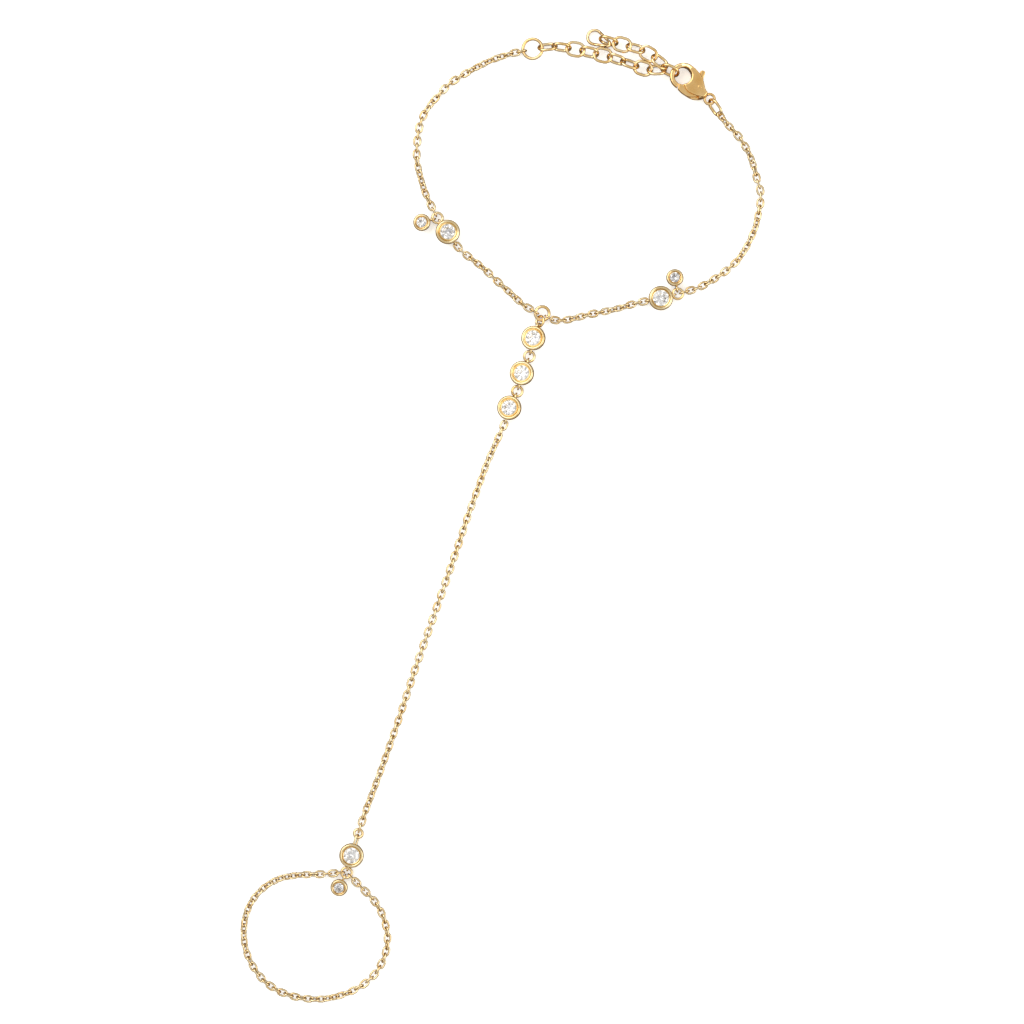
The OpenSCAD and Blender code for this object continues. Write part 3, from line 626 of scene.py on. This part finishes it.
# Both cheeks run round the hole and along the knob's side. On the gate's side the low cheek is
# wider, so that it covers the lever from below.
HOLE_RADIUS = 1.4
HOLE_SIDE = [
    (HOLE_RADIUS * math.cos(math.radians(angle)), HOLE_RADIUS * math.sin(math.radians(angle)))
    for angle in range(-50, 91, 10)
]
KNOB_SIDE = [
    (0, 2.2), (0.6, 2.2), (1.2, 2.14), (1.7, 2.07), (2.15, 1.97), (2.55, 1.83), (2.9, 1.66),
    (3.22, 1.46), (3.52, 1.23), (3.82, 1), (4.1, 0.79), (4.4, 0.62), (4.75, 0.52), (5, 0.5),
]
top_cheek = sawn_plate("top cheek", low=1.84, high=2.4, rounding=0.18, outline=[
    *HOLE_SIDE, *KNOB_SIDE,
    (5, -0.5), (4.75, -0.56), (4.5, -0.7), (4.2, -0.9), (3.88, -1.07), (3.5, -1.23),
    (3.1, -1.36), (2.7, -1.46), (2.3, -1.52), (2, -1.5), (1.7, -1.4), (1.3, -1.2),
])
low_cheek = sawn_plate("low cheek", low=0, high=0.56, rounding=0.18, outline=[
    *HOLE_SIDE, *KNOB_SIDE,
    (5, -0.55), (4.8, -0.8), (4.45, -1.25), (4, -1.63), (3.5, -1.88), (3, -2.03), (2.5, -2.08),
    (2, -1.98), (1.6, -1.7), (1.3, -1.35),
])

# Between the cheeks: the web behind the hook, the bridge at the far end, and the eye's neck
web = sawn_plate("web", low=0.3, high=2.1, rounding=0.1, outline=[
    (0.3, 2.12), (1, 2.08), (1.8, 1.94), (1.93, 1.88), (1.93, 1.25), (0.6, 1.25),
])
bridge = sawn_plate("bridge", low=0.25, high=2.15, rounding=0.1, outline=[
    (4.28, 0.72), (4.55, 0.58), (4.95, 0.5), (4.95, -0.5), (4.75, -0.74), (4.28, -1.2),
])
neck = sawn_plate("neck", low=0.75, high=1.65, rounding=0.1, outline=[
    (4.7, 0.5), (5.15, 0.46), (5.15, -0.46), (4.7, -0.5),
])
ear = bent_bar(
    "ear", centre_x=5.83, radius=0.84, width=0.42, height=0.62, start=0, end=360, steps=40
)

clasp_gold = polished_gold(
    "clasp gold", patch_size=260, smoothness=0.16, wear=0.12, line_depth=0.003 * MM
)
shell = cast_in_one(
    "clasp_shell", [hook, top_cheek, low_cheek, web, bridge, neck, ear], grain=0.06, rounds=14
)
made_of(shell, clasp_gold, "bracelet", "gold", "clasp_body")

# The lever, in the order of its outline: the gate's tip, along the hole, out to the thumb knob,
# back past the pivot and along the gate's outer edge
lever_plate = sawn_plate("lever", low=0.6, high=1.8, rounding=0.12, outline=[
    (0.14, -1.4), (0.25, -1.39), (0.48, -1.33), (0.7, -1.22), (0.91, -1.08), (1.08, -0.91),
    (1.22, -0.7), (1.75, -0.55), (2.3, -0.5), (2.6, 0.2), (2.75, 0.9), (2.4, 1.7), (1.85, 2.08),
    (1.66, 2.45), (1.8, 2.8), (2.12, 2.95), (2.45, 2.86), (2.62, 2.4), (2.8, 1.9), (3.2, 1.45),
    (3.55, 1.05), (4.05, 0.5), (4.1, 0), (3.95, -0.8), (3.6, -1.5), (3.1, -1.95), (2.6, -2.17),
    (1.9, -2.26), (1.3, -2.28), (0.73, -2.2),
])
lever = cast_in_one("thumb_lever", [lever_plate], grain=0.05, rounds=10)
made_of(lever, clasp_gold, "lever", "gold", "clasp_lever")

# The rivet runs through both cheeks and the lever, and its heads are filed to low domes
RIVET_AT = (3.3 * MM, 0.3 * MM, 1.21 * MM)
RIVET_RADIUS = 0.35 * MM
RIVET_LENGTH = 2.4 * MM
RIVET_DOME = 0.12 * MM

clear_selection()
bpy.ops.mesh.primitive_cylinder_add(vertices=32, radius=RIVET_RADIUS, depth=RIVET_LENGTH)
rivet = bpy.context.object
rivet.name = "pivot_rivet"
bpy.ops.object.mode_set(mode="EDIT")
bpy.ops.mesh.select_all(action="SELECT")
bpy.ops.transform.translate(value=RIVET_AT)
pick_faces(rivet, lambda face: abs(face.normal.z) > 0.9)
bpy.ops.mesh.bevel(offset=RIVET_DOME, segments=4, affect="EDGES")
bpy.ops.object.mode_set(mode="OBJECT")
bpy.ops.object.shade_smooth_by_angle(angle=WIRE_EDGE)
rivet.data.transform(CLASP_PLACE)
made_of(rivet, clasp_gold, "bracelet", "gold", "clasp_pin")


# White paper under the bracelet, which is no part of it. It glows a little so that it stays evenly
# white.
# To reflections alone it shows a dark colour, a painted reflection that gives the gold wire its
# dark edges.
PAPER_SIZE = 4
PAPER_DROP = 0.01 * MM
PAPER_COLOUR = (0.94, 0.92, 0.87, 1)
PAPER_GLOW = (1, 0.98, 0.93, 1)
# Painted reflection: the paper's dark colour as the gold mirrors it
PAPER_PAINTED_DARK_IN_METAL = (0.22, 0.17, 0.12, 1)

clear_selection()
bpy.ops.mesh.primitive_plane_add(size=PAPER_SIZE, location=(0, 0, -PAPER_DROP))
ground = bpy.context.object
ground.name = "ground"
paper = bpy.data.materials.new("white paper")
paper.use_nodes = True
nodes, links = paper.node_tree.nodes, paper.node_tree.links
lit_paper = nodes["Principled BSDF"]
lit_paper.inputs["Base Color"].default_value = PAPER_COLOUR
lit_paper.inputs["Roughness"].default_value = 0.8
lit_paper.inputs["Emission Color"].default_value = PAPER_GLOW
lit_paper.inputs["Emission Strength"].default_value = 0.45
# Seen only in reflections: a dark paper, a painted reflection that darkens the gold's edges
paper_painted_dark_in_reflections = nodes.new("ShaderNodeBsdfDiffuse")
paper_painted_dark_in_reflections.inputs["Color"].default_value = PAPER_PAINTED_DARK_IN_METAL
light_path = nodes.new("ShaderNodeLightPath")
either = nodes.new("ShaderNodeMixShader")
links.new(light_path.outputs["Is Glossy Ray"], either.inputs["Fac"])
links.new(lit_paper.outputs["BSDF"], either.inputs[1])
links.new(paper_painted_dark_in_reflections.outputs["BSDF"], either.inputs[2])
links.new(either.outputs["Shader"], nodes["Material Output"].inputs["Surface"])
ground.data.materials.append(paper)


# Light: two large soft boxes, one at the upper left and a weaker one at the right, and a room that
# is bright overhead and darkens towards the horizon, as a studio's white ceiling does.
def soft_box(name, place, size, power):
    """A square area light that points at the bracelet."""
    light = bpy.data.lights.new(name, "AREA")
    light.shape = "SQUARE"
    light.size = size
    light.energy = power
    box = bpy.data.objects.new(name, light)
    box.location = place
    box.rotation_euler = (-Vector(place)).to_track_quat("-Z", "Y").to_euler()
    bpy.context.scene.collection.objects.link(box)


soft_box("left box", place=(-0.5, 0.45, 0.7), size=0.8, power=4.2)
soft_box("right box", place=(0.65, -0.15, 0.5), size=0.6, power=2)

room = bpy.data.worlds.new("room")
room.use_nodes = True
bpy.context.scene.world = room
nodes, links = room.node_tree.nodes, room.node_tree.links
way_out = nodes.new("ShaderNodeTexCoord")
height = nodes.new("ShaderNodeSeparateXYZ")
room_tones = nodes.new("ShaderNodeValToRGB")
horizon, wall = room_tones.color_ramp.elements
horizon.position, horizon.color = 0.02, (0.06, 0.05, 0.04, 1)
wall.position, wall.color = 0.22, (0.35, 0.34, 0.33, 1)
for position, grey in ((0.5, 0.95), (0.9, 0.8), (1, 0.6)):
    step = room_tones.color_ramp.elements.new(position)
    step.color = (grey, grey, grey, 1)
links.new(way_out.outputs["Generated"], height.inputs["Vector"])
links.new(height.outputs["Z"], room_tones.inputs["Fac"])
links.new(room_tones.outputs["Color"], nodes["Background"].inputs["Color"])
nodes["Background"].inputs["Strength"].default_value = 1
bpy.context.scene.view_settings.view_transform = "Standard"


# Camera straight overhead with a long lens, as the photograph was taken. The width of its view and
# its middle, in metres, put the bracelet where the photograph has it.
VIEW_WIDTH = 0.17067
VIEW_MIDDLE = (0.001667, 0.000667)
LENS = 100
SENSOR = 36

optics = bpy.data.cameras.new("overhead camera")
optics.lens = LENS
optics.sensor_width = SENSOR
optics.clip_start = 0.005
optics.clip_end = 20
camera = bpy.data.objects.new("overhead camera", optics)
camera.location = (*VIEW_MIDDLE, VIEW_WIDTH * LENS / SENSOR)
bpy.context.scene.collection.objects.link(camera)
bpy.context.scene.camera = camera
